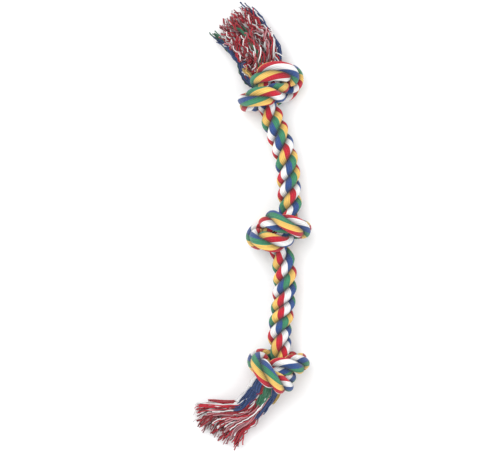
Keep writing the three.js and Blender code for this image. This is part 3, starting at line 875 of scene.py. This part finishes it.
def dress_tassel(name, yarns, materials, radius):
    """A tassel's yarns, one piece for each colour, shown in place of the tassel's solids."""
    by_colour = {colour: [] for colour in TASSEL_COLOURS}
    for number, (line, colour, buried) in enumerate(yarns):
        by_colour[colour].append(yarn_tube(line, buried, radius, number))
    for colour, tubes in by_colour.items():
        piece = finished_object(f"{name}_{colour}_yarns", tubes, [materials[colour]])
        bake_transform(piece)
        node_colour = "core" if colour == "undyed" else colour
        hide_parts(*[f"{name}_{letter}_{node_colour}" for letter in "abc"])


# Finishes: dyed cotton, whose patterns are in yarn widths, and the floor
COTTON_ROUGHNESS = 0.92
COTTON_SPECULAR = 0.25
COTTON_SHEEN = 0.28
COTTON_SHEEN_ROUGHNESS = 0.55
PLY_LEAN = 0.85
PLY_RELIEF = 0.35
FIBRE_STRETCH = (5.0, 1.1, 1.0)
FIBRE_SCALE = 2.2
FIBRE_DETAIL = 4.0
FIBRE_ROUGHNESS = 0.65
DYE_PATCH_SCALE = 160.0
DYE_PATCH_DETAIL = 2.0
DYE_PATCH_ROUGHNESS = 0.5
DYE_CHANCES = (0.3, 1.7)
DYE_STRENGTHS = (0.80, 1.16)
# Painted shade between the yarns, and deep in the rope and the tassels
GROOVE_START = 0.36
GROOVE_SHADE = 0.62
DEEP_SHADE = 0.22
FLUFF_FIBRES = (0.52, 0.78)
FLUFF_MOST = 0.22
FLUFF_DYE_SHARE = 0.55
FLUFF_WHITE = 0.36
BUMP_STRENGTH = 0.55
BUMP_DEPTH = 0.0004
FLOOR_ROUGHNESS = 0.8
FLOOR_SPECULAR = 0.1

# How the shader nodes are spread out in the editor
NODE_COLUMNS = 6
NODE_SPACING = (200, -260)


def add_node(tree, kind, **settings):
    """A shader node in the next place of a grid in the node editor."""
    row, column = divmod(len(tree.nodes), NODE_COLUMNS)
    node = tree.nodes.new(kind)
    node.location = (column * NODE_SPACING[0], row * NODE_SPACING[1])
    for key, value in settings.items():
        setattr(node, key, value)
    return node


def feed(tree, node, values):
    """Numbers, colours or other nodes' outputs put into a node's inputs, by name or number."""
    for key, value in values.items():
        if isinstance(value, bpy.types.NodeSocket):
            tree.links.new(value, node.inputs[key])
        else:
            node.inputs[key].default_value = value


def calculate(tree, operation, *values):
    """The output of a Math node."""
    node = add_node(tree, "ShaderNodeMath", operation=operation)
    feed(tree, node, dict(enumerate(values)))
    return node.outputs[0]


def fit_range(tree, value, start, end, low, high):
    """The output of a Map Range node: low up to the start, and high from the end."""
    node = add_node(tree, "ShaderNodeMapRange")
    feed(tree, node, {0: value, 1: start, 2: end, 3: low, 4: high})
    return node.outputs[0]


def add_noise(tree, vector, scale, detail, roughness):
    """The output of a Noise Texture node."""
    node = add_node(tree, "ShaderNodeTexNoise")
    feed(tree, node, {"Vector": vector, "Scale": scale, "Detail": detail, "Roughness": roughness})
    return node.outputs["Fac"]


def ply_waves(tree, across, along):
    """Plies that wind round each yarn."""
    lean = calculate(tree, "MULTIPLY_ADD", along, PLY_LEAN, across)
    return calculate(tree, "SINE", calculate(tree, "MULTIPLY", lean, 2 * math.pi))


def fine_fibres(tree, yarns):
    """Fibres drawn out along the yarns."""
    stretch = add_node(tree, "ShaderNodeMapping")
    feed(tree, stretch, {"Vector": yarns, "Scale": FIBRE_STRETCH})
    return add_noise(tree, stretch.outputs[0], FIBRE_SCALE, FIBRE_DETAIL, FIBRE_ROUGHNESS)


def dye_strength(tree, across):
    """Dye that differs from yarn to yarn and fades in patches."""
    chance = add_node(tree, "ShaderNodeTexWhiteNoise", noise_dimensions="1D")
    feed(tree, chance, {"W": calculate(tree, "FLOOR", across)})
    spot = add_node(tree, "ShaderNodeTexCoord").outputs["Object"]
    patches = add_noise(tree, spot, DYE_PATCH_SCALE, DYE_PATCH_DETAIL, DYE_PATCH_ROUGHNESS)
    mixed = calculate(tree, "ADD", chance.outputs["Value"], patches)
    return fit_range(tree, mixed, *DYE_CHANCES, *DYE_STRENGTHS)


def groove_shade(tree, across):
    """Painted shade: dark lines between the yarns, and darkening deep in the rope and in the tassels."""
    centred = calculate(tree, "SUBTRACT", calculate(tree, "FRACT", across), 0.5)
    edge = calculate(tree, "ABSOLUTE", centred)
    groove = fit_range(tree, edge, GROOVE_START, 0.5, 1.0, GROOVE_SHADE)
    depth = add_node(tree, "ShaderNodeAttribute", attribute_name="depth")
    deep = fit_range(tree, depth.outputs["Fac"], 0.0, 1.0, 1.0, DEEP_SHADE)
    return calculate(tree, "MULTIPLY", groove, deep)


def new_material(name, roughness, specular):
    """A material, its node tree and its shader."""
    material = bpy.data.materials.new(name)
    material.use_nodes = True
    tree = material.node_tree
    shader = tree.nodes["Principled BSDF"]
    feed(tree, shader, {"Roughness": roughness, "Specular IOR Level": specular})
    return material, tree, shader


def cotton_finish(name, colour):
    """Dyed cotton yarn with twisted plies, fine fibres, uneven dye, painted shade and a soft sheen."""
    material, tree, shader = new_material(name, COTTON_ROUGHNESS, COTTON_SPECULAR)
    feed(tree, shader, {"Sheen Weight": COTTON_SHEEN, "Sheen Roughness": COTTON_SHEEN_ROUGHNESS})
    material.diffuse_color = (*colour, 1)
    yarns = add_node(tree, "ShaderNodeUVMap", uv_map="yarns").outputs[0]
    split = add_node(tree, "ShaderNodeSeparateXYZ")
    feed(tree, split, {0: yarns})
    across, along = split.outputs[0], split.outputs[1]
    plies = ply_waves(tree, across, along)
    fibres = fine_fibres(tree, yarns)
    strength = dye_strength(tree, across)
    # The uneven dye, times the painted shade between the yarns and deep in the bundle
    shade = calculate(tree, "MULTIPLY", strength, groove_shade(tree, across))
    tint = add_node(tree, "ShaderNodeVectorMath", operation="SCALE")
    feed(tree, tint, {0: colour, "Scale": shade})

    # Pale fluff of broken fibres
    fluff = fit_range(tree, fibres, *FLUFF_FIBRES, 0.0, FLUFF_MOST)
    pale = [FLUFF_DYE_SHARE * channel + FLUFF_WHITE for channel in colour]
    worn = add_node(tree, "ShaderNodeMix", data_type="RGBA")
    feed(tree, worn, {0: fluff, 6: tint.outputs[0], 7: (*pale, 1)})

    height = calculate(tree, "MULTIPLY_ADD", plies, PLY_RELIEF, fibres)
    bump = add_node(tree, "ShaderNodeBump")
    feed(tree, bump, {"Strength": BUMP_STRENGTH, "Distance": BUMP_DEPTH, "Height": height})
    feed(tree, shader, {"Base Color": worn.outputs[2], "Normal": bump.outputs[0]})
    return material


def floor_finish(colour):
    """The plain pale floor."""
    material, tree, shader = new_material("studio_floor", FLOOR_ROUGHNESS, FLOOR_SPECULAR)
    feed(tree, shader, {"Base Color": (*colour, 1)})
    return material


# The route and the finishes are made once, for the first operator that needs them
made = {}


def shared_route():
    """The rope's route."""
    if "route" not in made:
        made["route"] = Route()
    return made["route"]


def shared_finishes(colours):
    """The cotton finishes by colour."""
    if "finishes" not in made:
        made["finishes"] = {
            name: cotton_finish(f"{name}_cotton", tuple(getattr(colours, name)))
            for name in TASSEL_COLOURS
        }
    return made["finishes"]


def rope_settings(context):
    """The route, the bands' materials, the yarns' relief and how many samples from a joint the pieces
    between the knots reach into a knot's length.
    """
    route = shared_route()
    finishes = shared_finishes(context.scene.rope_toy_colours)
    materials = [finishes[name] for name in BAND_NAMES]
    relief = context.scene.rope_toy_sizes.yarn_relief
    return route, materials, relief, round(BLEND_REACH / route.gap)


def strand_nodes(name):
    """The solids of the three strands in one length of the rope."""
    return [f"{name}_strand_{letter}" for letter in "abc"]


# Places in the photograph, in pixels of its own frame, and the scale of a pixel in metres
PHOTO_MIDDLE = (249.5, 228.0)
PHOTO_WIDTH = 499
ORIGIN_PIXEL = (251.5, 224.5)
ROPE_PIXELS = 24
PIXEL = ROPE_DIAMETER / ROPE_PIXELS

# The stage in metres, but for the sensor, which is in millimetres
SENSOR_WIDTH = 36.0
FAR_CLIP = 20.0
FLOOR_HALF_WIDTH = 3.0
SKY_LIGHT = 0.8

# Each light's name, place, size and watts
LIGHTS = [
    ("key_light", (-0.35, 0.4, 1.5), 1.0, 14.0),
    ("fill_light", (0.6, -0.5, 1.3), 1.2, 4.0),
]


class OBJECT_OT_rope_toy_stage(bpy.types.Operator):
    """Make the camera over the toy, the pale floor and the soft lights"""

    bl_idname = "object.rope_toy_stage"
    bl_label = "Studio Stage"

    def execute(self, context):
        sizes = context.scene.rope_toy_sizes
        colours = context.scene.rope_toy_colours
        low, high = cad_box
        middle_height = (low[2] + high[2]) / 2
        camera = bpy.data.cameras.new("camera")
        camera.sensor_width = SENSOR_WIDTH
        camera.lens = SENSOR_WIDTH * sizes.camera_distance / (PHOTO_WIDTH * PIXEL)
        camera.clip_end = FAR_CLIP
        eye = new_object("camera", camera)
        eye.location = (
            (PHOTO_MIDDLE[0] - ORIGIN_PIXEL[0]) * PIXEL,
            (ORIGIN_PIXEL[1] - PHOTO_MIDDLE[1]) * PIXEL,
            middle_height + sizes.camera_distance,
        )
        context.scene.camera = eye

        shape = bmesh.new()
        bmesh.ops.create_grid(shape, x_segments=2, y_segments=2, size=FLOOR_HALF_WIDTH)
        mesh = bpy.data.meshes.new("floor")
        shape.to_mesh(mesh)
        shape.free()
        mesh.materials.append(floor_finish(tuple(colours.floor)))
        floor = new_object("floor", mesh)

        world = bpy.data.worlds.new("studio")
        world.use_nodes = True
        sky = world.node_tree.nodes["Background"]
        feed(world.node_tree, sky, {"Color": (1.0, 1.0, 1.0, 1), "Strength": SKY_LIGHT})
        context.scene.world = world
        context.scene.view_settings.view_transform = "Standard"
        for name, place, size, power in LIGHTS:
            light = bpy.data.lights.new(name, "AREA")
            light.energy = power
            light.size = size
            lamp = new_object(name, light)
            lamp.location = place
            lamp.rotation_euler = Vector(place).to_track_quat("Z", "Y").to_euler()
        return {"FINISHED"}


class OBJECT_OT_rope_toy_knots(bpy.types.Operator):
    """Lay the three strands through each of the three knots"""

    bl_idname = "object.rope_toy_knots"
    bl_label = "Knots"

    def execute(self, context):
        route, materials, relief, reach = rope_settings(context)
        spans = [
            ("top_knot", route.ends[0], route.ends[1] - reach),
            ("middle_knot", route.ends[2] + reach, route.ends[3] - reach),
            ("bottom_knot", route.ends[4] + reach, route.ends[5]),
        ]
        for body, first, last in spans:
            piece = rope_piece(f"{body}_rope", route, first, last, relief, materials)
            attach(piece, body)
            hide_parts(*strand_nodes(body))
        return {"FINISHED"}


class OBJECT_OT_rope_toy_stretches(bpy.types.Operator):
    """Lay the strands between the knots, and a little way into each knot's length"""

    bl_idname = "object.rope_toy_stretches"
    bl_label = "Rope between Knots"

    def execute(self, context):
        route, materials, relief, reach = rope_settings(context)
        ends = route.ends
        upper_middle = (ends[1] + ends[2]) // 2
        lower_middle = (ends[3] + ends[4]) // 2
        halves = [
            ("upper_rope_top", "upper_rope", upper_middle, "top_knot", ends[1], -reach),
            ("upper_rope_bottom", "upper_rope", upper_middle, "middle_knot", ends[2], reach),
            ("lower_rope_top", "lower_rope", lower_middle, "middle_knot", ends[3], -reach),
            ("lower_rope_bottom", "lower_rope", lower_middle, "bottom_knot", ends[4], reach),
        ]
        for name, body, middle, knot, joint, toward_knot in halves:
            first, last = sorted((middle, joint + toward_knot))
            piece = rope_piece(name, route, first, last, relief, materials)
            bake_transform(piece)
            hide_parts(*strand_nodes(body))
        return {"FINISHED"}


class OBJECT_OT_rope_toy_tassels(bpy.types.Operator):
    """Comb out the yarns at both ends of the rope"""

    bl_idname = "object.rope_toy_tassels"
    bl_label = "Tassels"

    def execute(self, context):
        route = shared_route()
        finishes = shared_finishes(context.scene.rope_toy_colours)
        radius = context.scene.rope_toy_sizes.loose_yarn_radius
        inside, end = route.place[TASSEL_LEAD_SAMPLES], route.place[0]
        line = tassel_line(inside, end, TOP_KNOT_PLACE, TOP_TASSEL_REACH, TOP_TASSEL_SHARES)
        top = Tassel(line, TOP_TASSEL_GIRTHS, **TOP_TASSEL_HANG)
        yarns = tassel_yarns(top, TOP_SKIN_LOCKS, TOP_TASSEL_SEED)
        dress_tassel("top_tassel", yarns, finishes, radius)

        inside, end = route.place[-1 - TASSEL_LEAD_SAMPLES], route.place[-1]
        line = tassel_line(inside, end, BOTTOM_KNOT_PLACE, BOTTOM_TASSEL_REACH, BOTTOM_TASSEL_SHARES)
        bottom = Tassel(line, BOTTOM_TASSEL_GIRTHS, **BOTTOM_TASSEL_HANG)
        yarns = tassel_yarns(bottom, BOTTOM_SKIN_LOCKS, BOTTOM_TASSEL_SEED)
        dress_tassel("bottom_tassel", yarns, finishes, radius)
        return {"FINISHED"}


class VIEW3D_PT_rope_toy(bpy.types.Panel):
    """Sizes, colours and the steps that build the toy"""

    bl_idname = "VIEW3D_PT_rope_toy"
    bl_label = "Rope Dog Toy"
    bl_space_type = "VIEW_3D"
    bl_region_type = "UI"
    bl_category = "Rope Toy"

    def draw(self, context):
        layout = self.layout
        for settings in (context.scene.rope_toy_sizes, context.scene.rope_toy_colours):
            for key in settings.__annotations__:
                layout.prop(settings, key)
        for step in STEPS:
            layout.operator(step.bl_idname)


STEPS = [
    OBJECT_OT_rope_toy_stage,
    OBJECT_OT_rope_toy_knots,
    OBJECT_OT_rope_toy_stretches,
    OBJECT_OT_rope_toy_tassels,
]
CLASSES = [RopeToySizes, RopeToyColours, *STEPS, VIEW3D_PT_rope_toy]


def register():
    """Add the settings, the steps and the panel."""
    for item in CLASSES:
        bpy.utils.register_class(item)
    bpy.types.Scene.rope_toy_sizes = bpy.props.PointerProperty(type=RopeToySizes)
    bpy.types.Scene.rope_toy_colours = bpy.props.PointerProperty(type=RopeToyColours)


def unregister():
    """Take away what register adds."""
    del bpy.types.Scene.rope_toy_colours
    del bpy.types.Scene.rope_toy_sizes
    for item in reversed(CLASSES):
        bpy.utils.unregister_class(item)


def main():
    """Build the stage and the toy."""
    register()
    bpy.ops.object.rope_toy_stage()
    bpy.ops.object.rope_toy_knots()
    bpy.ops.object.rope_toy_stretches()
    bpy.ops.object.rope_toy_tassels()


if __name__ == "__main__":
    main()
